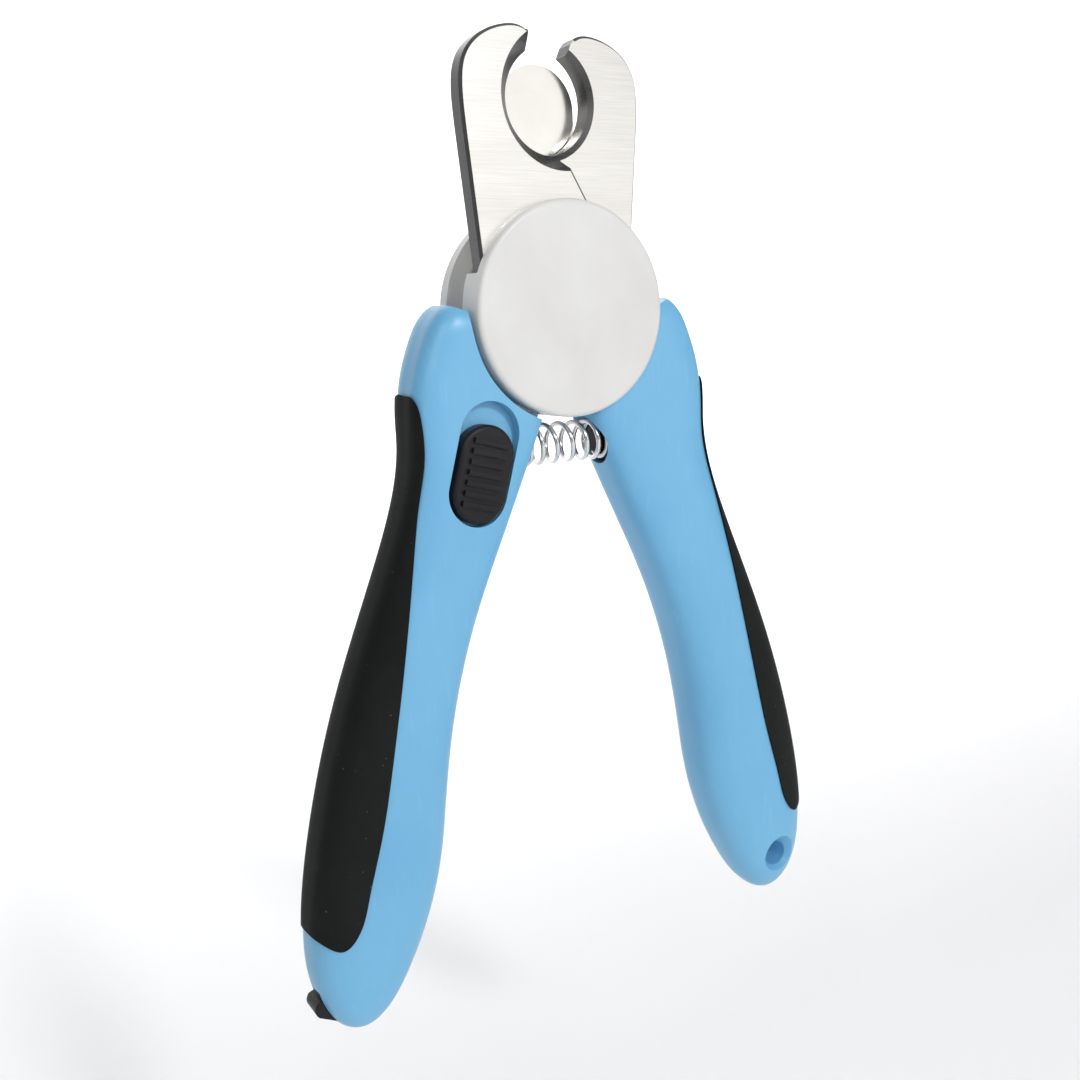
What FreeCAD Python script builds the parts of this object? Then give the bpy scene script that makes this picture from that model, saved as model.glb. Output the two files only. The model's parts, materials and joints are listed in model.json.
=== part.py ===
import FreeCAD, Part
import math
import os

# Pet nail trimmer, pliers type. +X right and +Z towards the blades as seen from the front, -Y to the viewer.
# The pivot axis is Y, and the rear cap's flat face is y = 0. Depths are counted from there towards the front.

V = FreeCAD.Vector
doc = FreeCAD.newDocument("nail_trimmer")

# ---------------------------------------------------------------- driving sizes, mm and degrees
SIZES = [
    ("hub_radius", 17.0), ("blade_reach", 42.4), ("handle_reach", 112.3),
    ("rear_cap_thick", 1.1), ("rear_hub_thick", 1.9), ("guard_thick", 1.4), ("blade_thick", 3.5),
    ("front_hub_thick", 1.0), ("front_cap_thick", 1.2), ("cap_round", 0.7),
    ("guard_gap_rear", 0.2), ("guard_gap_front", 0.4), ("blade_gap", 0.1),
    ("handle_inset_rear", 1.2), ("handle_inset_front", 1.5), ("handle_thick", 14.0), ("handle_shift", 0.4),
    ("moving_gap", 0.9), ("seat_gap", 0.1), ("skirt_wall", 2.2),
    ("bolt_radius", 3.0), ("running_gap", 0.06), ("bolt_head_radius", 5.6), ("bolt_head_thick", 1.1),
    ("washer_thick", 0.35), ("nut_flats", 9.0), ("nut_thick", 1.5), ("close_angle", 27.0),
    ("stop_pin_radius", 1.2), ("stop_pin_orbit", 9.8), ("tang_pin_radius", 1.5),
    ("notch_radius", 8.4), ("notch_height", 32.2), ("notch_bevel", 2.6), ("edge_chamfer", 0.45),
    ("inner_chamfer", 0.6),
    ("guard_half_width", 7.0), ("guard_reach", 38.4), ("guard_disc_inset", 2.9),
    ("grip_wall", 2.0), ("grip_proud", 0.35),
    ("spring_height", 21.5), ("spring_mean_radius", 3.1), ("spring_wire_radius", 0.43),
    ("spring_turns", 8.0), ("spring_pocket_radius", 4.3), ("spring_pocket_reach", 10.2),
    ("seat_thick", 0.8), ("seat_peg_radius", 2.1), ("seat_peg_length", 2.4),
    ("button_width", 9.4), ("button_length", 15.6), ("button_proud", 1.1), ("button_ridges", 7.0),
    ("ridge_height", 0.6), ("lock_travel", 3.2), ("lock_slope", 16.0), ("recess_depth", 1.6),
    ("recess_gap", 0.5), ("tongue_width", 4.0), ("tongue_thick", 1.6), ("tongue_gap", 0.25),
    ("lock_pin_radius", 1.3),
    ("file_width", 7.4), ("file_thick", 1.1), ("file_length", 61.0), ("file_slope", 12.0),
    ("file_gap", 0.3), ("file_cap_length", 10.0), ("file_cap_half", 4.8), ("file_cap_thick", 4.0),
    ("hang_hole_radius", 2.4), ("hang_hole_flare", 0.8), ("hang_hole_wall", 8.4),
]
sheet = doc.addObject("Spreadsheet::Sheet", "sizes")
for row, (word, value) in enumerate(SIZES, start=1):
    sheet.set("A%d" % row, word)
    sheet.set("B%d" % row, repr(value))
    sheet.setAlias("B%d" % row, word)
DEPTHS = [
    ("hub_front", "rear_cap_thick + rear_hub_thick"),
    ("guard_rear", "rear_cap_thick + rear_hub_thick + guard_gap_rear"),
    ("guard_front", "guard_rear + guard_thick"),
    ("rear_blade_back", "guard_front + guard_gap_front"),
    ("rear_blade_front", "rear_blade_back + blade_thick"),
    ("shear_depth", "rear_blade_front + blade_gap / 2"),
    ("front_blade_back", "rear_blade_front + blade_gap"),
    ("front_blade_front", "front_blade_back + blade_thick"),
    ("front_hub_front", "front_blade_front + front_hub_thick"),
    ("total_depth", "front_hub_front + front_cap_thick"),
    ("handle_front", "total_depth - handle_inset_front"),
    ("middle_depth", "(handle_front + handle_inset_rear) / 2"),
    ("blade_disc_radius", "hub_radius - skirt_wall - 0.2"),
    ("head_pocket_radius", "bolt_head_radius + 0.3"),
    ("nut_pocket_radius", "nut_flats / 2 / cos(30) + 0.9"),
]
for row, (word, formula) in enumerate(DEPTHS, start=len(SIZES) + 1):
    sheet.set("A%d" % row, word)
    sheet.set("B%d" % row, "=" + formula)
    sheet.setAlias("B%d" % row, word)
doc.recompute()


def size(word):
    """A size from the sheet, as a plain number."""
    return float(sheet.get(word))


NODES = []
HUB_K = size("hub_radius") / 17.0
BLADE_K = size("blade_reach") / 42.4
HANDLE_K = size("handle_reach") / 112.3


def fitted(x, z):
    """A point of the shape at its usual size, carried to the sheet's hub radius, blade reach and handle reach."""
    far = BLADE_K if z > 0 else HANDLE_K
    reach = math.hypot(x, z)
    blend = min(max((reach - 22.0) / 18.0, 0.0), 1.0)
    k = HUB_K + (far - HUB_K) * blend
    return x * k, z * k


def at(x, z, depth):
    return V(x, -depth, z)


# ---------------------------------------------------------------- pieces turned about the pivot axis
def turned(label, profile):
    """A body revolved about the pivot axis. The profile is a list of (radius, depth) formulas of the sheet."""
    body = doc.addObject("PartDesign::Body", label)
    body.Label = label
    sketch = body.newObject("Sketcher::SketchObject", label + "_profile")
    plane = [o for o in body.Origin.OriginFeatures if o.Role == "XY_Plane"][0]
    sketch.AttachmentSupport = [(plane, "")]
    sketch.MapMode = "FlatFace"
    values = [(measure(r), -measure(d)) for r, d in profile]
    count = len(profile)
    for i in range(count):
        a, b = values[i], values[(i + 1) % count]
        sketch.addGeometry(Part.LineSegment(V(a[0], a[1], 0), V(b[0], b[1], 0)), False)
    for i in range(count):
        fasten(sketch, "Coincident", i, 2, (i + 1) % count, 1)
        r, d = profile[i]
        place(sketch, i, "X", r, 1)
        place(sketch, i, "Y", d, -1)
    doc.recompute()
    turn = body.newObject("PartDesign::Revolution", label + "_turned")
    turn.Profile = sketch
    turn.ReferenceAxis = (sketch, ["V_Axis"])
    turn.Angle = 360.0
    body.Tip = turn
    doc.recompute()
    NODES.append(body)
    return body


def measure(formula):
    """The number a formula of the sheet's words gives."""
    words = {word: size(word) for word, _ in SIZES + DEPTHS}
    total = 0.0
    sign = 1.0
    for token in formula.replace("-", "+ -").split("+"):
        token = token.strip()
        if not token:
            continue
        sign = -1.0 if token.startswith("-") else 1.0
        token = token.lstrip("- ")
        total += sign * (words[token] if token in words else float(token))
    return total


def fasten(sketch, kind, *refs):
    import Sketcher
    return sketch.addConstraint(Sketcher.Constraint(kind, *refs))


def place(sketch, line, direction, formula, sign):
    """Hold a line's start point at the sheet's distance from the sketch origin."""
    value = measure(formula)
    if abs(value) < 1e-9:
        fasten(sketch, "PointOnObject", line, 1, -2 if direction == "X" else -1)
        return
    ends = (-1, 1, line, 1) if sign > 0 else (line, 1, -1, 1)
    index = fasten(sketch, "Distance" + direction, *ends, value)
    words = " ".join("sizes." + t if t in WORDS else t for t in formula.split())
    sketch.setExpression("Constraints[%d]" % index, words)


WORDS = {word for word, _ in SIZES + DEPTHS}

turned("front_cap", [
    ("0.0", "total_depth"), ("hub_radius - cap_round", "total_depth"),
    ("hub_radius", "total_depth - cap_round"), ("hub_radius", "front_hub_front"),
    ("head_pocket_radius", "front_hub_front"), ("head_pocket_radius", "front_hub_front + 0.7"),
    ("0.0", "front_hub_front + 0.7"),
])
turned("rear_cap", [
    ("0.0", "0.0"), ("hub_radius - cap_round", "0.0"), ("hub_radius", "cap_round"),
    ("hub_radius", "rear_cap_thick"), ("0.0", "rear_cap_thick"),
])
turned("pivot_bolt", [
    ("0.0", "front_blade_front + washer_thick + bolt_head_thick"),
    ("bolt_head_radius - 0.3", "front_blade_front + washer_thick + bolt_head_thick"),
    ("bolt_head_radius", "front_blade_front + washer_thick + bolt_head_thick - 0.3"),
    ("bolt_head_radius", "front_blade_front + washer_thick"),
    ("bolt_radius", "front_blade_front + washer_thick"),
    ("bolt_radius", "rear_cap_thick + 0.6"), ("bolt_radius - 0.3", "rear_cap_thick + 0.3"),
    ("0.0", "rear_cap_thick + 0.3"),
])
turned("front_washer", [
    ("bolt_radius + running_gap", "front_blade_front"), ("bolt_head_radius", "front_blade_front"),
    ("bolt_head_radius", "front_blade_front + washer_thick"),
    ("bolt_radius + running_gap", "front_blade_front + washer_thick"),
])
turned("guard_washer", [
    ("bolt_radius + running_gap", "guard_front"), ("bolt_head_radius + 1.0", "guard_front"),
    ("bolt_head_radius + 1.0", "guard_front + 0.3"), ("bolt_radius + running_gap", "guard_front + 0.3"),
])


# ---------------------------------------------------------------- shapes drawn in the front view
def edge_chain(pieces):
    """Edges from a list of ('line', points) and ('curve', points) pieces that follow one another."""
    edges = []
    for kind, points in pieces:
        if kind == "line":
            edges += [Part.LineSegment(V(*a), V(*b)).toShape() for a, b in zip(points, points[1:])]
        else:
            spline = Part.BSplineCurve()
            spline.interpolate(Points=[V(*p) for p in points])
            edges.append(spline.toShape())
    return edges


def flat(pieces, near, far, side=1.0):
    """A plate with the given outline between two depths. side -1 mirrors it to the left."""
    turned_over = [(kind, [(side * x, -near, z) for x, z in points]) for kind, points in pieces]
    face = Part.Face(Part.Wire(edge_chain(turned_over)))
    return face.extrude(V(0, near - far, 0))


def polygon(points, near, far, side=1.0):
    return flat([("line", list(points) + [points[0]])], near, far, side)


def drum(radius, near, far, x=0.0, z=0.0):
    return Part.makeCylinder(radius, far - near, at(x, z, far), V(0, 1, 0))


def strip(start, direction, length, half_left, half_right, near, far):
    """A straight bar in the front view, from a start point along a unit direction."""
    (x, z), (u, w) = start, direction
    ends = [(0, half_left), (length, half_left), (length, -half_right), (0, -half_right)]
    return polygon([(x + s * u - t * w, z + s * w + t * u) for s, t in ends], near, far)


def stadium(centre, direction, length, width, near, far):
    """A round-ended bar in the front view."""
    half, reach = width / 2, (length - width) / 2
    (x, z), (u, w) = centre, direction
    low, high = (x - reach * u, z - reach * w), (x + reach * u, z + reach * w)
    bar = strip(low, direction, 2 * reach, half, half, near, far)
    return bar.fuse([drum(half, near, far, *low), drum(half, near, far, *high)]).removeSplitter()


def turned_by(shape, degrees):
    """A copy turned about the pivot axis, counter-clockwise as seen from the front."""
    copy = shape.copy()
    copy.rotate(V(0, 0, 0), V(0, -1, 0), degrees)
    return copy


def node(label, shape):
    """A finished piece of the trimmer, as an object of its own."""
    if len(shape.Solids) == 1:
        shape = shape.Solids[0]
    piece = doc.addObject("Part::Feature", label)
    piece.Label = label
    piece.Shape = shape
    NODES.append(piece)
    return piece


REAR, FRONT = size("handle_inset_rear"), size("handle_front")
MIDDLE, SHEAR = size("middle_depth"), size("shear_depth")
HUB, BOLT, RUN = size("hub_radius"), size("bolt_radius"), size("running_gap")
BLADE_NEAR = {"rear": size("rear_blade_back"), "front": size("front_blade_back")}
DISC = size("blade_disc_radius")

# ---------------------------------------------------------------- blades, the right-hand outline
OUTER_EDGE = [fitted(*p) for p in [
    (14.5, 0.0), (14.95, 6.3), (15.5, 12.4), (16.05, 18.3), (16.6, 24.2), (17.1, 30.0), (17.15, 34.0), (16.4, 37.4),
    (14.5, 39.9), (11.9, 41.5), (9.2, 42.3), (6.9, 42.4), (5.3, 41.8)]]
INNER_EDGE = [fitted(-1.2, 22.9), fitted(-5.6, 15.2)]
BLADE = [
    ("curve", OUTER_EDGE),
    ("line", [OUTER_EDGE[-1], fitted(4.6, 40.9), fitted(3.9, 39.4), fitted(-2.0, 32.0), *INNER_EDGE,
              fitted(-7.6, 8.0), (0.0, 0.0), OUTER_EDGE[0]]),
]
TANG = [fitted(*p) for p in [
    (-3.0, 0.0), (-9.4, -10.5), (-11.3, -17.0), (-12.0, -25.0), (-16.4, -37.0), (-19.2, -44.4), (-24.6, -42.2),
    (-22.4, -28.5), (-19.2, -17.0), (-14.2, -3.2)]]
TANG_PINS = [fitted(-16.4, -23.5), fitted(-20.8, -38.2)]


def outer_chamfer(plate):
    """Take the sharp corner off a blade's long outer edge, front and back."""
    edges = [e for e in plate.Edges if e.Length > 30.0 * BLADE_K]
    return plate.makeChamfer(size("edge_chamfer"), edges)


def front_bevel(plate, far):
    """Bevel the front corner of a blade's slanting inner edge, between the notch and the hub."""
    edges = [e for e in plate.Edges if abs(e.Length - math.dist(*INNER_EDGE)) < 0.01
             and all(abs(v.Y + far) < 1e-6 for v in e.Vertexes)]
    return plate.makeChamfer(size("inner_chamfer"), edges)


def blade(side, layer):
    """A blade whose cutting end is on one side and whose tang runs down into the other side's handle."""
    near = BLADE_NEAR[layer]
    far = near + size("blade_thick")
    body = outer_chamfer(flat(BLADE, near, far, side))
    if layer == "front":
        body = front_bevel(body, far)
    body = body.fuse([drum(DISC, near, far), polygon(TANG, near, far, side)])
    centre = (side * (fitted(0, size("notch_height"))[0] - 0.7 * BLADE_K), size("notch_height") * BLADE_K)
    radius, bevel = size("notch_radius") * BLADE_K, size("notch_bevel")
    if layer == "front":
        notch = Part.makeCone(radius + bevel, radius, far - near, at(*centre, far), V(0, 1, 0))
    else:
        rim = size("edge_chamfer")
        lip = Part.makeCone(radius + 2 * rim, radius, rim, at(*centre, far), V(0, 1, 0))
        notch = drum(radius, near, far, *centre).fuse(lip)
    body = body.cut([notch, drum(BOLT + RUN, near, far)]).removeSplitter()
    return body.cut([drum(size("tang_pin_radius"), near, far, side * x, z) for x, z in TANG_PINS])


pin_radius, orbit = size("stop_pin_radius"), size("stop_pin_orbit") * HUB_K
front_blade = blade(-1, "front")
front_blade = front_blade.cut(drum(pin_radius, BLADE_NEAR["front"], BLADE_NEAR["front"] + size("blade_thick") - 0.5,
                                   0, orbit))
rear_blade = blade(1, "rear")
slot_half, slot_near = pin_radius + 0.15, BLADE_NEAR["rear"]
slot_far = slot_near + size("blade_thick")
slot_turn = math.radians(size("close_angle"))
slot_end = (orbit * math.sin(slot_turn), orbit * math.cos(slot_turn))
slot_wedge = polygon([(0, 0), (0, 2 * orbit), (2 * orbit * math.tan(slot_turn / 2), 2 * orbit),
                      (2 * slot_end[0], 2 * slot_end[1])], slot_near, slot_far)
slot_ring = drum(orbit + slot_half, slot_near, slot_far).cut(drum(orbit - slot_half, slot_near, slot_far))
for cutter in (slot_ring.common(slot_wedge), drum(slot_half, slot_near, slot_far, 0, orbit),
               drum(slot_half, slot_near, slot_far, *slot_end)):
    rear_blade = rear_blade.cut(cutter)
node("front_blade", front_blade)
node("rear_blade", rear_blade)
node("stop_pin", drum(pin_radius, BLADE_NEAR["rear"] + 0.4,
                      BLADE_NEAR["front"] + size("blade_thick") - 0.5, 0, orbit))
for label, side, layer in (("front", -1, "front"), ("rear", 1, "rear")):
    near = BLADE_NEAR[layer] - 1.0
    for place_name, (x, z) in zip(("upper", "lower"), TANG_PINS):
        node("%s_tang_pin_%s" % (label, place_name),
             drum(size("tang_pin_radius"), near, near + size("blade_thick") + 1.0, side * x, z))

# ---------------------------------------------------------------- safety guard
half, top = size("guard_half_width") * BLADE_K, size("guard_reach") * BLADE_K
g_near, g_far = size("guard_rear"), size("guard_front")
guard = Part.makeBox(2 * half, g_far - g_near, top - half, V(-half, -g_far, 0))
guard = guard.fuse([drum(half, g_near, g_far, 0, top - half), drum(HUB - size("guard_disc_inset"), g_near, g_far)])
guard = guard.removeSplitter().cut(drum(BOLT + RUN, g_near, g_far))
node("safety_guard", guard)

# ---------------------------------------------------------------- hub halves with their skirts
wall_inner = DISC + 0.2


def skirt(side, near, far):
    """The wall round a blade's disc, from a flat top beside the blade down to below the pivot."""
    ring = drum(HUB, near, far).cut(drum(wall_inner, near, far))
    top_z, low = 6.0 * HUB_K, 2 * HUB
    zone = polygon([(0, 0), (-low, 0), (-low, top_z), (0, top_z)], near, far, side).fuse(
        polygon([(0, 0), (-low, 0), (-low, -low), (0.15 * low, -low)], near, far, side))
    blade_way = polygon([(0, 0), fitted(-14.75, 0), fitted(-15.2, 6.5), (0, 6.5 * HUB_K)], near, far, side)
    return ring.common(zone).cut(blade_way)


plate = drum(HUB, size("front_blade_front"), size("front_hub_front"))
front_hub = plate.fuse(skirt(1, size("front_blade_back") + 0.1, size("front_blade_front")))
front_hub = front_hub.cut(drum(size("head_pocket_radius"), 0, 30)).removeSplitter()
plate = drum(HUB, size("rear_cap_thick"), size("hub_front"))
rear_hub = plate.fuse(skirt(-1, size("hub_front"), size("rear_blade_front") - 0.1))
rear_hub = rear_hub.cut(drum(size("nut_pocket_radius"), 0, size("hub_front") + 0.1)).removeSplitter()
node("rear_hub", rear_hub)

flats = size("nut_flats") / 2 / math.cos(math.radians(30))
nut_far = size("guard_rear") - 0.35
hexagon = [(flats * math.cos(math.radians(60 * i)), flats * math.sin(math.radians(60 * i))) for i in range(6)]
node("pivot_nut", polygon(hexagon, nut_far - size("nut_thick"), nut_far).cut(drum(BOLT + RUN, 0, 30)))

# ---------------------------------------------------------------- handles, by sections of the right-hand one
# each section: its outer point, its inner point, its thickness as a share of the full one, and how square it is
SECTIONS = [
    ((20.7, 1.4), (2.2, -6.0), 0.72, 4.5), ((22.2, 0.2), (1.6, -7.6), 0.82, 4.5),
    ((24.9, -4.4), (2.6, -12.4), 0.83, 4.5), ((26.7, -9.8), (4.3, -16.8), 0.83, 4.2),
    ((27.4, -15.4), (6.0, -20.8), 0.83, 4.0), ((27.6, -21.4), (8.5, -26.6), 0.84, 3.6),
    ((29.6, -30.0), (12.7, -35.8), 0.87, 3.2), ((35.4, -44.6), (18.7, -49.6), 0.94, 2.8),
    ((41.2, -59.2), (23.1, -64.6), 0.98, 2.7), ((45.2, -72.0), (25.2, -77.0), 1.0, 2.7),
    ((47.6, -82.0), (26.7, -86.4), 1.0, 2.7), ((49.2, -91.4), (29.6, -96.0), 0.97, 2.6),
    ((49.6, -99.2), (33.0, -103.2), 0.9, 2.5), ((48.5, -105.4), (36.2, -108.2), 0.76, 2.4),
    ((46.6, -109.2), (38.9, -110.9), 0.55, 2.2), ((44.5, -111.3), (41.3, -112.0), 0.25, 2.0),
]
HALF_DEEP = size("handle_thick") / 2
GRIP_MIDDLE = MIDDLE + size("handle_shift")
SECTION_POINTS = 24
GRIP_LINE = [(29.4, -9.6), (27.4, -12.0), (26.6, -16.0), (26.5, -21.0), (28.0, -28.5), (29.6, -36.0),
             (31.6, -46.0), (33.6, -56.0), (35.8, -66.5), (38.6, -78.5), (41.4, -88.0), (43.5, -93.6),
             (45.9, -95.6), (48.2, -94.6), (51.2, -92.6)]


def handle_blank(side, grow, first=0, last=len(SECTIONS)):
    """A loft through the handle's rounded sections. grow makes each one larger all round."""
    loops = []
    for outer, inner, thick, square in SECTIONS[first:last]:
        (xo, zo), (xi, zi) = fitted(*outer), fitted(*inner)
        span = math.hypot(xo - xi, zo - zi)
        across = V(side * (xo - xi) / span, 0, (zo - zi) / span)
        half_wide, half_deep = span / 2 + grow, thick * HALF_DEEP + grow
        points = []
        for k in range(SECTION_POINTS):
            c, s = math.cos(2 * math.pi * k / SECTION_POINTS), math.sin(2 * math.pi * k / SECTION_POINTS)
            wide = half_wide * math.copysign(abs(c) ** (2 / square), c)
            deep = half_deep * math.copysign(abs(s) ** (2 / square), s)
            points.append(at(side * (xo + xi) / 2, (zo + zi) / 2, GRIP_MIDDLE) + across * wide + V(0, deep, 0))
        loop = Part.BSplineCurve()
        loop.interpolate(Points=points, PeriodicFlag=True)
        loops.append(Part.Wire(loop.toShape()))
    return Part.makeLoft(loops, True, False)


def grip_zone(side):
    run = [fitted(*p) for p in GRIP_LINE]
    outside = [(80.0, run[-1][1]), (80.0, run[0][1])]
    return flat([("curve", run), ("line", [run[-1]] + outside + [run[0]])], REAR - 8, FRONT + 8, side)


def spring_pocket(side):
    reach, inner = size("spring_pocket_reach") * HUB_K, 3.0
    return Part.makeCylinder(size("spring_pocket_radius"), reach - inner,
                             at(side * inner, -size("spring_height") * HUB_K, MIDDLE), V(side, 0, 0))


def hub_room(front_gap, rear_gap):
    return drum(HUB + front_gap, SHEAR, 40).fuse(drum(HUB + rear_gap, -5, SHEAR))


GAP, SEAT = size("moving_gap"), size("seat_gap")
handles, grips = {}, {}
for label, side in (("right", 1), ("left", -1)):
    blank = handle_blank(side, 0.0)
    core = handle_blank(side, -size("grip_wall"), 1, len(SECTIONS) - 2)
    proud = handle_blank(side, size("grip_proud"), 1)
    zone = grip_zone(side)
    grips[label] = proud.common(zone).cut(core)
    handles[label] = blank.cut(zone).fuse(core.common(zone))

# ---------------------------------------------------------------- right handle, with the hang hole
hang = fitted(42.4, -104.2)
hang_r, flare, hang_wall = size("hang_hole_radius"), size("hang_hole_flare"), size("hang_hole_wall") / 2
right_cuts = [hub_room(SEAT, GAP), front_blade, spring_pocket(1), drum(hang_r, REAR - 3, FRONT + 3, *hang),
              Part.makeCone(hang_r + 4 * flare, hang_r, 4, at(*hang, GRIP_MIDDLE + hang_wall + 4), V(0, 1, 0)),
              Part.makeCone(hang_r, hang_r + 4 * flare, 4, at(*hang, GRIP_MIDDLE - hang_wall), V(0, 1, 0))]
right_cuts += [drum(size("tang_pin_radius"), BLADE_NEAR["front"] - 1, BLADE_NEAR["front"] + size("blade_thick"),
                    -x, z) for x, z in TANG_PINS]
node("right_handle", handles["right"].cut(right_cuts))
node("right_grip", grips["right"].cut(hub_room(SEAT, GAP)))

# ---------------------------------------------------------------- lock in the left handle
lock_way = (math.sin(math.radians(size("lock_slope"))), math.cos(math.radians(size("lock_slope"))))
travel, clear = size("lock_travel"), size("recess_gap")
button_at = fitted(-17.3, -24.6)
button_l, button_w = size("button_length"), size("button_width")
floor = FRONT - size("recess_depth")
recess_centre = tuple(c + d * travel / 2 for c, d in zip(button_at, lock_way))
recess = stadium(recess_centre, lock_way, button_l + travel + 2 * clear, button_w + 2 * clear, floor, FRONT + 1)
gap_t = size("tongue_gap")
channel_near = size("rear_blade_front")
tongue_near = channel_near + gap_t
tongue_far = tongue_near + size("tongue_thick")
# the tongue's tip waits just inside the handle's hub cut
tip_reach = 0.0
while math.hypot(button_at[0] + lock_way[0] * tip_reach, button_at[1] + lock_way[1] * tip_reach) > HUB + GAP + 1.1:
    tip_reach += 0.05
half_t = size("tongue_width") / 2
tongue_start = tuple(c - d * 4.0 for c, d in zip(button_at, lock_way))
tongue = strip(tongue_start, lock_way, tip_reach + 4.0, half_t, half_t, tongue_near, tongue_far)
tongue_room_start = tuple(c - d * (4.0 + gap_t) for c, d in zip(button_at, lock_way))
tongue_room = strip(tongue_room_start, lock_way, tip_reach + 4.0 + 2 * gap_t + travel, half_t + gap_t,
                    half_t + gap_t, channel_near, tongue_far + gap_t)
pin_slot = stadium(recess_centre, lock_way, 2 * (size("lock_pin_radius") + gap_t) + travel,
                   2 * (size("lock_pin_radius") + gap_t), tongue_far, floor + 0.1)
button = stadium(button_at, lock_way, button_l, button_w, floor + RUN, FRONT + size("button_proud"))
button_top = -FRONT - size("button_proud")
button = button.makeFillet(0.7, [e for e in button.Edges if all(abs(v.Y - button_top) < 1e-6 for v in e.Vertexes)])
ridge_count = int(size("button_ridges"))
ridge_pitch = (button_l - 4.0) / ridge_count
ridges = []
for i in range(ridge_count):
    along = (i - (ridge_count - 1) / 2) * ridge_pitch
    x, z = (c + d * (along - ridge_pitch * 0.24) for c, d in zip(button_at, lock_way))
    wide = button_w / 2 - 1.7
    ridges.append(strip((x, z), lock_way, ridge_pitch * 0.48, wide, wide, FRONT + size("button_proud") - 0.1,
                        FRONT + size("button_proud") + size("ridge_height")))
lock_pin = drum(size("lock_pin_radius"), tongue_near, FRONT, *button_at)
button = button.fuse(ridges).removeSplitter().cut(lock_pin)
node("lock_button", button)
node("lock_tongue", tongue.cut(lock_pin))
node("lock_pin", lock_pin)

# the front hub's skirt has one recess for the closed lock and one for the open position
reach_in = strip(tongue_start, lock_way, tip_reach + 4.0 + travel + 0.5, half_t + gap_t, half_t + gap_t,
                 channel_near, tongue_far + gap_t)
front_hub = front_hub.cut([reach_in, turned_by(reach_in, size("close_angle"))])
node("front_hub", front_hub)

# ---------------------------------------------------------------- file stored in the left handle
file_way = (math.sin(math.radians(size("file_slope"))), math.cos(math.radians(size("file_slope"))))
file_base = fitted(-41.4, -112.3)
file_long = size("file_length") * HANDLE_K
f_half, f_near = size("file_width") / 2, MIDDLE - size("file_thick") / 2
cap_near = MIDDLE - size("file_cap_thick") / 2
cap_far = cap_near + size("file_cap_thick")
f_gap, cap_l, cap_h = size("file_gap"), size("file_cap_length"), size("file_cap_half")


def along_file(s, t=0.0):
    """A point s up the file and t to its outer side."""
    return file_base[0] + s * file_way[0] - t * file_way[1], file_base[1] + s * file_way[1] + t * file_way[0]


outline = handle_blank(-1, 0.0)
lip_top = 6.6
lip = flat([("line", [along_file(1.4, 4.0), along_file(2.6, 8.3)]),
            ("curve", [along_file(2.6, 8.3), along_file(3.8, 9.2), along_file(5.0, 9.0)]),
            ("line", [along_file(5.0, 9.0), along_file(lip_top, 6.4), along_file(lip_top, 4.0), along_file(1.4, 4.0)])],
           cap_near, cap_far)
cap_block = strip(along_file(0.6), file_way, lip_top - 0.6, 12.0, cap_h, cap_near, cap_far).fuse(
    strip(along_file(0.6), file_way, cap_l - 0.6, cap_h, cap_h, cap_near, cap_far)).removeSplitter()
file_cap = cap_block.common(outline).fuse(lip).removeSplitter()
blade_strip = strip(along_file(3.0), file_way, file_long - f_half, f_half, f_half,
                    f_near, f_near + size("file_thick"))
tip = along_file(3.0 + file_long - f_half)
nail_file = blade_strip.fuse(drum(f_half, f_near, f_near + size("file_thick"), *tip)).removeSplitter()
file_cap = file_cap.cut(nail_file)
node("nail_file", nail_file)
node("file_cap", file_cap)
file_room = [
    strip(along_file(-20.0), file_way, 23.0 + file_long - f_half, f_half + f_gap, f_half + f_gap,
          f_near - f_gap, f_near + size("file_thick") + f_gap),
    drum(f_half + f_gap, f_near - f_gap, f_near + size("file_thick") + f_gap, *tip),
    strip(along_file(-20.0), file_way, 20.0 + lip_top + f_gap, 14.0, cap_h + f_gap, cap_near - f_gap, cap_far + f_gap),
    strip(along_file(0.0), file_way, cap_l + f_gap, cap_h + f_gap, cap_h + f_gap, cap_near - f_gap, cap_far + f_gap),
]

left_cuts = [hub_room(GAP, SEAT), rear_blade, spring_pocket(-1), recess, tongue_room, pin_slot] + file_room
left_cuts += [drum(size("tang_pin_radius"), BLADE_NEAR["rear"] - 1, BLADE_NEAR["rear"] + size("blade_thick"),
                   x, z) for x, z in TANG_PINS]
node("left_handle", handles["left"].cut(left_cuts))
node("left_grip", grips["left"].cut([hub_room(GAP, SEAT), recess] + file_room))

# ---------------------------------------------------------------- return spring and its seats
spring_z = -size("spring_height") * HUB_K
seat_back = size("spring_pocket_reach") * HUB_K
seat_face = seat_back - size("seat_thick")
for label, side in (("right", 1), ("left", -1)):
    cup = Part.makeCylinder(size("spring_pocket_radius") - 0.2, size("seat_thick"),
                            at(side * seat_face, spring_z, MIDDLE), V(side, 0, 0))
    peg = Part.makeCylinder(size("seat_peg_radius"), size("seat_peg_length"),
                            at(side * (seat_face - size("seat_peg_length")), spring_z, MIDDLE), V(side, 0, 0))
    node(label + "_spring_seat", cup.fuse(peg).removeSplitter())

wire, mean = size("spring_wire_radius"), size("spring_mean_radius")
coil_length = 2 * (seat_face - wire - 0.05)
helix = Part.makeHelix(coil_length / size("spring_turns"), coil_length, mean)
section = Part.Wire(Part.makeCircle(wire, V(mean, 0, 0), V(0, 1, 0)))
coil = Part.Wire(helix.Edges).makePipeShell([section], True, True)
coil.rotate(V(0, 0, 0), V(0, 1, 0), 90)
coil.translate(V(-coil_length / 2, -MIDDLE, spring_z))
node("return_spring", coil)

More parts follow.
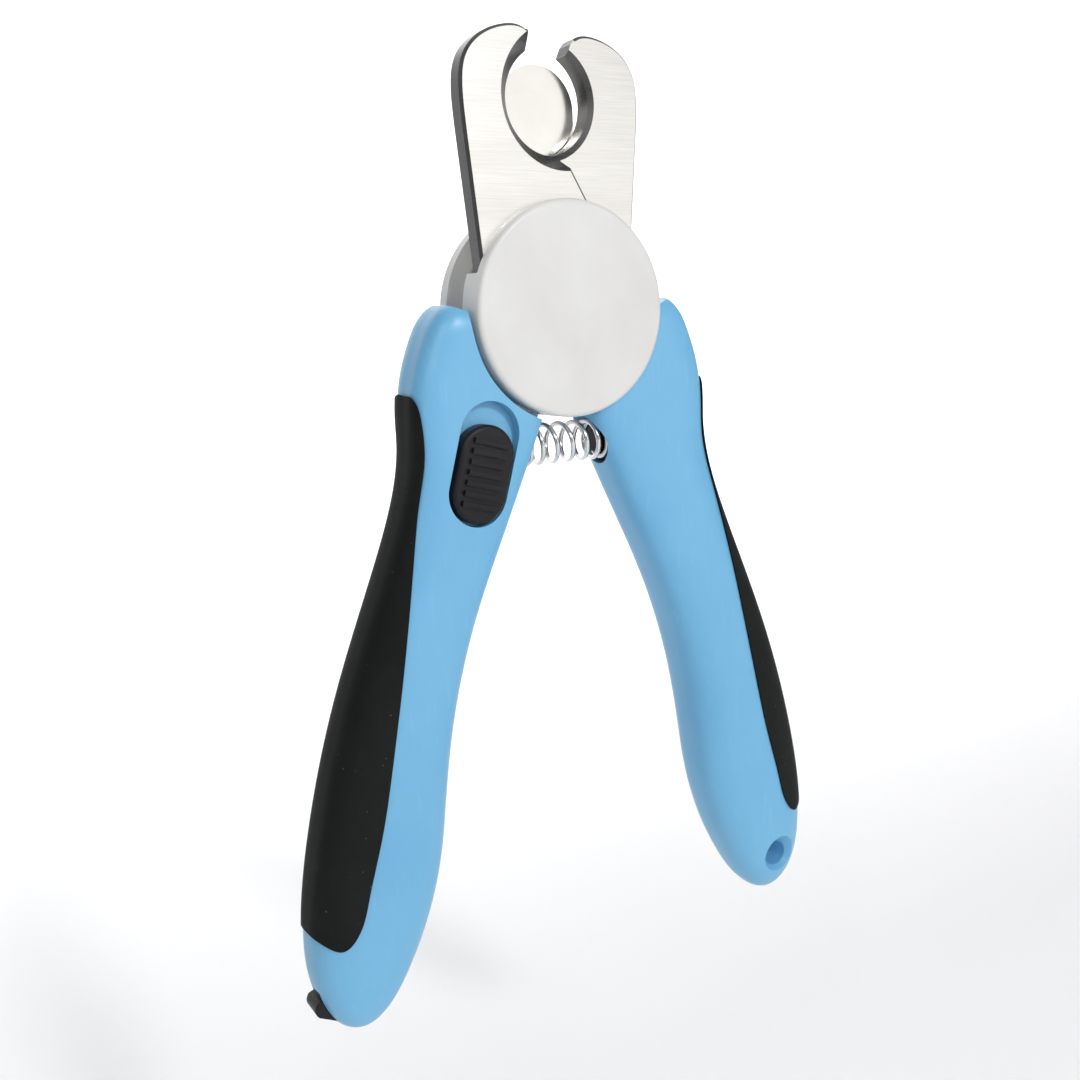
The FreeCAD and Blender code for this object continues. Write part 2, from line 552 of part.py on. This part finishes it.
# ---------------------------------------------------------------- checks and export
doc.recompute()
os.makedirs("parts", exist_ok=True)
for item in doc.Objects:
    state = [s for s in item.State if s in ("Invalid", "Error")]
    if state:
        raise RuntimeError("%s is %s" % (item.Label, state))
for piece in NODES:
    shape = piece.Shape
    if shape.isNull() or not shape.isValid() or not shape.Solids:
        raise RuntimeError("%s has a bad shape" % piece.Label)
    shape.exportStep("parts/%s.step" % piece.Label)
    box = shape.BoundBox
    print("%-22s %d solid(s) %9.1f mm3  x %6.1f %6.1f  y %6.1f %6.1f  z %7.1f %6.1f" % (
        piece.Label, len(shape.Solids), shape.Volume, box.XMin, box.XMax, box.YMin, box.YMax, box.ZMin, box.ZMax))
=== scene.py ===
import json
import math

import bmesh
import bpy
import numpy as np
from mathutils import Matrix, Vector


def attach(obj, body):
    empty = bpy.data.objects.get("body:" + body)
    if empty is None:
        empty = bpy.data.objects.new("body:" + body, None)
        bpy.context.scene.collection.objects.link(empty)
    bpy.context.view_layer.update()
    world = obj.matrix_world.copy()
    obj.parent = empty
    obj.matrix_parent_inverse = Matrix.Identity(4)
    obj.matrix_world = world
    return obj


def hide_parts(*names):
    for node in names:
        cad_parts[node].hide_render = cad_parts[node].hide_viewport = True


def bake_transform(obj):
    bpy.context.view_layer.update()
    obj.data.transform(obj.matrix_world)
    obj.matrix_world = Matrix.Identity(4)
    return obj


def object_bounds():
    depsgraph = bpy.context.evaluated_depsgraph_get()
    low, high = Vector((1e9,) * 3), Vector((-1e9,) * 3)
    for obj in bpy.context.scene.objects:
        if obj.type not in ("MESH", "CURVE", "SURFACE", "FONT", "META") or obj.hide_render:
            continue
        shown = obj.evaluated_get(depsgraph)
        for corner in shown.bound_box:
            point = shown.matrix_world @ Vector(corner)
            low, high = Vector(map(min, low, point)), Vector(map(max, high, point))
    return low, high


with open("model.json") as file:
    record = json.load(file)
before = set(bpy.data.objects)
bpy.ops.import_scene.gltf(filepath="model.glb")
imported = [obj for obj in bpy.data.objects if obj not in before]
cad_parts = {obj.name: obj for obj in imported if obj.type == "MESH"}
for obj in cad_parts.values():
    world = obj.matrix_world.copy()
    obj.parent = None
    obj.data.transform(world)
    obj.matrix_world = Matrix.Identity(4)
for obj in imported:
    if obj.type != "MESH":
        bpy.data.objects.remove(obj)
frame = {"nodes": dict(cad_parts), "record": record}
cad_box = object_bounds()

nodes = frame["nodes"]

# Lengths are in metres, except where millimetres are named and where MM turns them into metres.
MM = 0.001

# Caps and spring, in millimetres from the pivot: x right, z up, and a depth runs along -Y.
CAP_RADIUS = 17.0
MIDDLE_DEPTH = 7.0
SPRING_HEIGHT = -21.5
SPRING_HALF_LENGTH = 9.3

# The floor lies this far below the tool, so that the drawn file and the closed handle clear it.
FILE_DRAWN_OUT = 0.0665

CAMERA_AIM = Vector((-0.004, -0.007, -0.0375))
CAMERA_DISTANCE = 0.20
CAMERA_AZIMUTH, CAMERA_ELEVATION, CAMERA_ROLL = map(math.radians, (-30.0, 10.5, -2.5))
CAMERA_LENS, CAMERA_SENSOR = 40.0, 36.0  # millimetres

# Lights of the tool: place from the tool's centre, side length, watts. All look at that centre.
TOOL_LIGHTS = {
    "key": ((-0.30, -0.42, 0.30), 0.30, 0.75),
    "front": ((0.12, -0.78, 0.45), 0.12, 3.0),
    "card": ((0.45, -0.78, -0.04), 0.7, 1.75),
    "top": ((0.0, 0.10, 0.9), 0.8, 1.2),
}
WORLD_COLOUR, WORLD_STRENGTH = (0.96, 0.97, 1.0), 0.30


# ---------------------------------------------------------------- shader arithmetic
class Signal:
    """A value inside one material. Sums, differences and products of signals add Math nodes."""

    def __init__(self, tree, socket=None):
        self.tree, self.socket = tree, socket

    def node(self, kind, settings=None, inputs=None, out=0):
        """Any node: its settings are made first, then its sockets get values or links."""
        made = self.tree.nodes.new(kind)
        for key, value in (settings or {}).items():
            setattr(made, key, value)
        for key, value in (inputs or {}).items():
            if isinstance(value, Signal):
                self.tree.links.new(value.socket, made.inputs[key])
            else:
                made.inputs[key].default_value = value
        return Signal(self.tree, made.outputs[out])

    def math(self, operation, *others):
        values = dict(enumerate((self, *others)))
        return self.node("ShaderNodeMath", {"operation": operation}, values)

    def __add__(self, other):
        return self.math("ADD", other)

    def __sub__(self, other):
        return self.math("SUBTRACT", other)

    def __mul__(self, other):
        return self.math("MULTIPLY", other)

    def __rsub__(self, other):
        return (self * -1.0) + other

    __radd__ = __add__

    def clamped(self, low, high):
        """0 below low, 1 above high, a straight climb between."""
        return self.node("ShaderNodeMapRange", {"clamp": True},
                         {"Value": self, "From Min": low, "From Max": high})

    def part(self, axis):
        return self.node("ShaderNodeSeparateXYZ", None, {0: self}, out="XYZ".index(axis))

    def noise(self, scale, detail=3.0, rough=0.55):
        return self.node("ShaderNodeTexNoise", None,
                         {"Vector": self, "Scale": scale, "Detail": detail, "Roughness": rough})

    def stretched(self, factors, turn=(0.0, 0.0, 0.0)):
        return self.node("ShaderNodeMapping", None,
                         {"Vector": self, "Rotation": turn, "Scale": factors})

    def tint(self, low, high):
        """A colour that goes from low to high as the signal goes from 0 to 1."""
        return self.node("ShaderNodeMix", {"data_type": "RGBA"},
                         {"Factor": self, 6: (*low, 1.0), 7: (*high, 1.0)}, out=2)

    def over(self, under, colour):
        """colour where the signal is 1, the colour signal under where it is 0."""
        return self.node("ShaderNodeMix", {"data_type": "RGBA"},
                         {"Factor": self, 6: under, 7: (*colour, 1.0)}, out=2)

    def bump(self, depth, distance):
        return self.node("ShaderNodeBump", None,
                         {"Strength": depth, "Distance": distance, "Height": self})


def finish(name, **fixed):
    """A new material, the object coordinates its pattern reads, and a way to wire its shader."""
    material = bpy.data.materials.new(name)
    material.use_nodes = True
    tree = material.node_tree
    shader = tree.nodes["Principled BSDF"]
    for key, value in fixed.items():
        shader.inputs[key.replace("_", " ")].default_value = value

    def wire(**signals):
        for key, signal in signals.items():
            tree.links.new(signal.socket, shader.inputs[key.replace("_", " ")])

    return material, Signal(tree).node("ShaderNodeTexCoord", out="Object"), wire


# ---------------------------------------------------------------- finishes
def blue_plastic():
    """Moulded plastic: a faint cloudiness, a fine speckle and a few pale rubs down its length."""
    material, place, wire = finish("blue_plastic", Specular_IOR_Level=0.5)
    clouds = place.noise(28.0, detail=4.0)
    speckle = place.noise(2600.0, detail=2.0)
    down_handle = place.stretched((1.0, 1.0, 0.18), turn=(0.0, 0.2, 0.0))
    rubs = down_handle.noise(900.0, detail=3.0, rough=0.65).clamped(0.56, 0.74)
    colour = clouds.clamped(0.3, 0.7).tint((0.138, 0.405, 0.655), (0.168, 0.455, 0.70))
    wire(Base_Color=(rubs * 0.25).over(colour, (0.24, 0.53, 0.78)),
         Roughness=0.3 + clouds * 0.1 + rubs * 0.12,
         Normal=(speckle * 0.6 + clouds * 0.4).bump(0.10, 0.00012))
    return material


def black_rubber():
    """Grip rubber: a matt grain with a few specks of dust."""
    material, place, wire = finish("black_rubber", Specular_IOR_Level=0.14)
    grain = place.noise(5200.0, detail=2.0)
    clouds = place.noise(45.0, detail=4.0)
    dust = place.noise(1500.0, detail=1.0).clamped(0.76, 0.80)
    colour = clouds.clamped(0.3, 0.7).tint((0.0045, 0.0052, 0.005), (0.0095, 0.0105, 0.0105))
    wire(Base_Color=(dust * 0.35).over(colour, (0.16, 0.16, 0.16)),
         Roughness=0.56 + grain * 0.12 + clouds * 0.05,
         Normal=grain.bump(0.25, 0.00008))
    return material


def white_plastic():
    """Hub and caps: warm white with slanted clouds and a fine speckle."""
    material, place, wire = finish("white_plastic", Specular_IOR_Level=0.5)
    clouds = place.stretched((1.0, 1.0, 0.7), turn=(0.0, 0.6, 0.0)).noise(70.0, detail=4.0)
    speckle = place.noise(2400.0, detail=2.0)
    colour = clouds.clamped(0.32, 0.68).tint((0.64, 0.633, 0.615), (0.71, 0.705, 0.69))
    wire(Base_Color=colour,
         Roughness=0.32 + clouds * 0.12,
         Normal=(speckle * 0.5 + clouds).bump(0.08, 0.0001))
    return material


def black_plastic():
    """Button and file cap: shinier than the rubber, with a shallower grain."""
    material, place, wire = finish("black_plastic", Specular_IOR_Level=0.26)
    grain = place.noise(4200.0, detail=2.0)
    clouds = place.noise(120.0, detail=3.0)
    wire(Base_Color=clouds.clamped(0.3, 0.7).tint((0.005, 0.005, 0.0068), (0.011, 0.011, 0.014)),
         Roughness=0.34 + clouds * 0.14,
         Normal=grain.bump(0.2, 0.00007))
    return material


def ground_steel():
    """Blade plate: faces ground across their length; walls and bevels smoother, with a near-black
    painted colour that stands in for dark reflections.

    A face looks along the Y axis, so the size of its normal's Y part tells it from a wall.
    """
    wall_below, face_above = 0.93, 0.985
    material, place, wire = finish("ground_steel")
    normal = place.node("ShaderNodeTexCoord", out="Normal")
    face = normal.part("Y").math("ABSOLUTE").clamped(wall_below, face_above)
    painted_dark_walls = 1.0 - face
    lines = place.stretched((0.02, 0.02, 1.0)).noise(5200.0, detail=3.0, rough=0.7)
    bands = place.stretched((0.05, 1.0, 1.0)).noise(160.0, detail=3.0)
    smudge = place.noise(55.0, detail=3.0)
    mottle = (lines * 0.6 + bands * 0.4).clamped(0.3, 0.7)
    steel = mottle.tint((0.62, 0.60, 0.57), (0.79, 0.775, 0.74))
    # Walls and bevels get a near-black base colour: painted dark reflection, not the steel's own
    # colour.
    wire(Base_Color=(painted_dark_walls * 0.92).over(steel, (0.045, 0.046, 0.05)),
         Metallic=1.0 - painted_dark_walls * 0.25,
         Roughness=0.26 + lines * 0.16 + smudge * 0.08 - painted_dark_walls * 0.08,
         Normal=(lines * face).bump(0.35, 0.00002))
    return material


def polished_steel(name, tone, rough):
    """Smooth metal of one tone, with smudges up to an eighth lighter and faint drawn lines."""
    material, place, wire = finish(name, Metallic=1.0)
    smudge = place.noise(90.0, detail=4.0)
    lines = place.stretched((0.05, 1.0, 1.0)).noise(2600.0, detail=2.0)
    light = tuple(min(1.0, channel * 1.12) for channel in tone)
    wire(Base_Color=smudge.clamped(0.3, 0.7).tint(tone, light),
         Roughness=rough + smudge * 0.08 + lines * 0.04,
         Normal=lines.bump(0.08, 0.00001))
    return material


def file_steel():
    """File strip: two sets of fine ridges that slant across the strip and cross each other."""
    strip_slope = math.radians(12.0)
    ridge_slant, ridge_pitch = 0.9, 0.0011
    material, place, wire = finish("file_steel", Metallic=1.0)
    along = place.stretched((1.0, 1.0, 1.0), turn=(0.0, strip_slope, 0.0))
    ridges = []
    for side in (-1.0, 1.0):
        slanted = along.part("Z") + along.part("X") * (side * ridge_slant)
        ridges.append((slanted * (2.0 * math.pi / ridge_pitch)).math("SINE"))
    cuts = (ridges[0] * 0.5 + 0.5) * (ridges[1] * 0.5 + 0.5)
    smudge = place.noise(140.0, detail=3.0)
    wire(Base_Color=cuts.tint((0.36, 0.35, 0.33), (0.80, 0.79, 0.76)),
         Roughness=0.28 + smudge * 0.15,
         Normal=cuts.bump(0.6, 0.00012))
    return material


FINISHES = {
    "blue_plastic": blue_plastic(),
    "black_rubber": black_rubber(),
    "white_plastic": white_plastic(),
    "black_plastic": black_plastic(),
    "blade_steel": ground_steel(),
    "guard_steel": polished_steel("guard_steel", (0.66, 0.64, 0.60), 0.12),
    "spring_steel": polished_steel("spring_steel", (0.68, 0.68, 0.68), 0.12),
    "bolt_steel": polished_steel("bolt_steel", (0.55, 0.55, 0.55), 0.28),
    "file_steel": file_steel(),
}
SLOTS = {entry["node"]: entry["material_slot"] for entry in frame["record"]["subparts"]}
for label, piece in nodes.items():
    piece.data.materials.clear()
    piece.data.materials.append(FINISHES[SLOTS[label]])


# ---------------------------------------------------------------- pieces made here
def smooth_piece(name, mesh):
    """An object of this mesh, shaded smooth and put in the scene."""
    mesh.polygons.foreach_set("use_smooth", [True] * len(mesh.polygons))
    piece = bpy.data.objects.new(name, mesh)
    bpy.context.scene.collection.objects.link(piece)
    return piece


def grid_mesh(name, rows):
    """A closed skin over a grid of points, rows by columns. The last column joins the first.

    Faces join each point to the next in its column and its row. Where all points of a row meet,
    they are welded to one.
    """
    weld = 1e-7
    count, columns = rows.shape[:2]
    index = np.arange(count * columns).reshape(count, columns)
    above, below = index[:-1], index[1:]
    corners = [above, np.roll(above, -1, axis=1), np.roll(below, -1, axis=1), below]
    quads = np.stack(corners, axis=-1).reshape(-1, 4)
    mesh = bpy.data.meshes.new(name)
    mesh.from_pydata(rows.reshape(-1, 3).tolist(), [], quads.tolist())
    work = bmesh.new()
    work.from_mesh(mesh)
    bmesh.ops.remove_doubles(work, verts=work.verts, dist=weld)
    bmesh.ops.recalc_face_normals(work, faces=work.faces)
    work.to_mesh(mesh)
    work.free()
    return smooth_piece(name, mesh)


def turned_disc(name, face, back, dome, round_edge):
    """A disc about the pivot axis: a slightly domed face, a rounded edge, a rim and a flat back.

    face and back are depths, and the face may lie in front of the back or behind it. Each point of
    the profile (r, d) is turned through a full circle: x = r cos t, z = r sin t, y = -d.
    """
    steps, rim_steps, sides = 14, 3, 192
    outwards = 1.0 if face > back else -1.0
    inner = CAP_RADIUS - round_edge
    flat_r = inner * np.linspace(0.0, 1.0, steps)
    flat_d = face - outwards * dome * (flat_r / inner) ** 4
    bend = np.linspace(0.0, math.pi / 2, steps)[1:]
    edge_r = inner + round_edge * np.sin(bend)
    edge_d = face - outwards * (dome + round_edge * (1.0 - np.cos(bend)))
    rim_r = np.full(rim_steps, CAP_RADIUS)
    rim_d = np.linspace(edge_d[-1], back, rim_steps + 1)[1:]
    foot_r = CAP_RADIUS * np.array([0.995, 0.8, 0.4, 0.0])
    foot_d = np.full(foot_r.size, back)
    r = np.concatenate([flat_r, edge_r, rim_r, foot_r])[:, None] * MM
    d = np.concatenate([flat_d, edge_d, rim_d, foot_d])[:, None] * MM
    turn = np.linspace(0.0, 2.0 * math.pi, sides, endpoint=False)
    y = np.broadcast_to(-d, (d.size, sides))
    return grid_mesh(name, np.stack([r * np.cos(turn), y, r * np.sin(turn)], axis=-1))


def coil_spring():
    """A wire wound round a line along X: its centre circles the line as x goes from seat to seat.

    The turns close up at both ends: x follows u less a small sine of u, so it climbs slowly near
    the seats. Each ring of wire points lies across the wire, and the wire tapers to its two tips:
    point = centre + wire (cos s * outward + sin s * across).
    """
    turns, coil_radius, wire = 8.0, 3.1, 0.42
    end_crowding, first_turn = 0.055, 0.6
    steps, sides, taper_steepness = 480, 14, 200.0
    reach = SPRING_HALF_LENGTH - wire
    u = np.linspace(0.0, 1.0, steps)
    x = -reach + 2.0 * reach * (u - end_crowding * np.sin(2.0 * math.pi * u))
    turn = 2.0 * math.pi * turns * u + first_turn
    outward = np.stack([np.zeros_like(u), np.cos(turn), np.sin(turn)], axis=-1)
    axis = np.stack([x, np.full_like(u, -MIDDLE_DEPTH), np.full_like(u, SPRING_HEIGHT)], axis=-1)
    centre_line = outward * coil_radius + axis
    along = np.gradient(centre_line, axis=0)
    along /= np.linalg.norm(along, axis=1, keepdims=True)
    across = np.cross(along, outward)
    s = np.linspace(0.0, 2.0 * math.pi, sides, endpoint=False)[None, :, None]
    radius = wire * np.minimum(1.0, np.minimum(u, 1.0 - u) * taper_steepness)[:, None, None]
    ring = np.cos(s) * outward[:, None, :] + np.sin(s) * across[:, None, :]
    return grid_mesh("coil_spring", (centre_line[:, None, :] + radius * ring) * MM)


face_disc = turned_disc("face_disc", face=14.3, back=13.1, dome=0.12, round_edge=0.85)
back_disc = turned_disc("back_disc", face=0.0, back=1.1, dome=0.10, round_edge=0.75)
spring = coil_spring()
for piece, stands_for in (
        (face_disc, "front_cap"), (back_disc, "rear_cap"), (spring, "return_spring")):
    piece.data.materials.append(FINISHES[SLOTS[stands_for]])
    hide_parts(stands_for)
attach(face_disc, "right_arm")
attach(back_disc, "left_arm")
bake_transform(spring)


# ---------------------------------------------------------------- studio
def pale_floor():
    """A pale floor that curves up into a backdrop: flat, a quarter circle, then straight up."""
    front, bend_start, bend, top, half_width, steps = -3.0, 0.6, 0.5, 3.0, 4.0, 24
    low = cad_box[0].z - FILE_DRAWN_OUT
    angle = np.linspace(0.0, math.pi / 2, steps)
    run = np.concatenate([[front], bend_start + bend * np.sin(angle), [bend_start + bend]])
    height = np.concatenate([[0.0], bend - bend * np.cos(angle), [top]])
    edges = [np.stack([np.full(run.size, side * half_width), run, height + low], axis=-1)
             for side in (-1.0, 1.0)]
    index = np.arange(run.size - 1)
    faces = np.stack([index, index + run.size, index + run.size + 1, index + 1], axis=1)
    mesh = bpy.data.meshes.new("pale_floor")
    mesh.from_pydata(np.concatenate(edges).tolist(), [], faces.tolist())
    material, place, wire = finish("pale_floor", Specular_IOR_Level=0.2)
    wire(Base_Color=place.noise(2.0, detail=2.0).tint((0.86, 0.86, 0.865), (0.89, 0.89, 0.89)),
         Roughness=0.6 + place.noise(30.0) * 0.1)
    mesh.materials.append(material)
    smooth_piece("pale_floor", mesh)


def soft_light(name, place, aim, width, power):
    """A square area light that looks at aim."""
    data = bpy.data.lights.new(name, "AREA")
    data.shape, data.size, data.energy = "SQUARE", width, power
    lamp = bpy.data.objects.new(name, data)
    lamp.location = place
    lamp.rotation_euler = (aim - place).to_track_quat("-Z", "Y").to_euler()
    bpy.context.scene.collection.objects.link(lamp)


pale_floor()
centre = (cad_box[0] + cad_box[1]) / 2
for name, (offset, width, power) in TOOL_LIGHTS.items():
    soft_light(name, centre + Vector(offset), centre, width, power)
soft_light("backdrop", Vector((0.7, 0.5, 1.2)), Vector((0.7, 1.1, 1.0)), width=1.8, power=38.0)

world = bpy.data.worlds.new("studio")
world.use_nodes = True
sky = world.node_tree.nodes["Background"]
sky.inputs["Color"].default_value = (*WORLD_COLOUR, 1.0)
sky.inputs["Strength"].default_value = WORLD_STRENGTH
bpy.context.scene.world = world
bpy.context.scene.view_settings.view_transform = "Standard"

level = math.cos(CAMERA_ELEVATION)
towards_camera = Vector((math.sin(CAMERA_AZIMUTH) * level, -math.cos(CAMERA_AZIMUTH) * level,
                         math.sin(CAMERA_ELEVATION)))
camera_data = bpy.data.cameras.new("camera")
camera_data.lens, camera_data.sensor_width = CAMERA_LENS, CAMERA_SENSOR
camera_data.clip_start, camera_data.clip_end = 0.01, 20.0
camera = bpy.data.objects.new("camera", camera_data)
camera.location = CAMERA_AIM + towards_camera * CAMERA_DISTANCE
looking = (-towards_camera).to_track_quat("-Z", "Y").to_matrix()
camera.rotation_euler = (looking @ Matrix.Rotation(CAMERA_ROLL, 3, "Z")).to_euler()
bpy.context.scene.collection.objects.link(camera)
bpy.context.scene.camera = camera
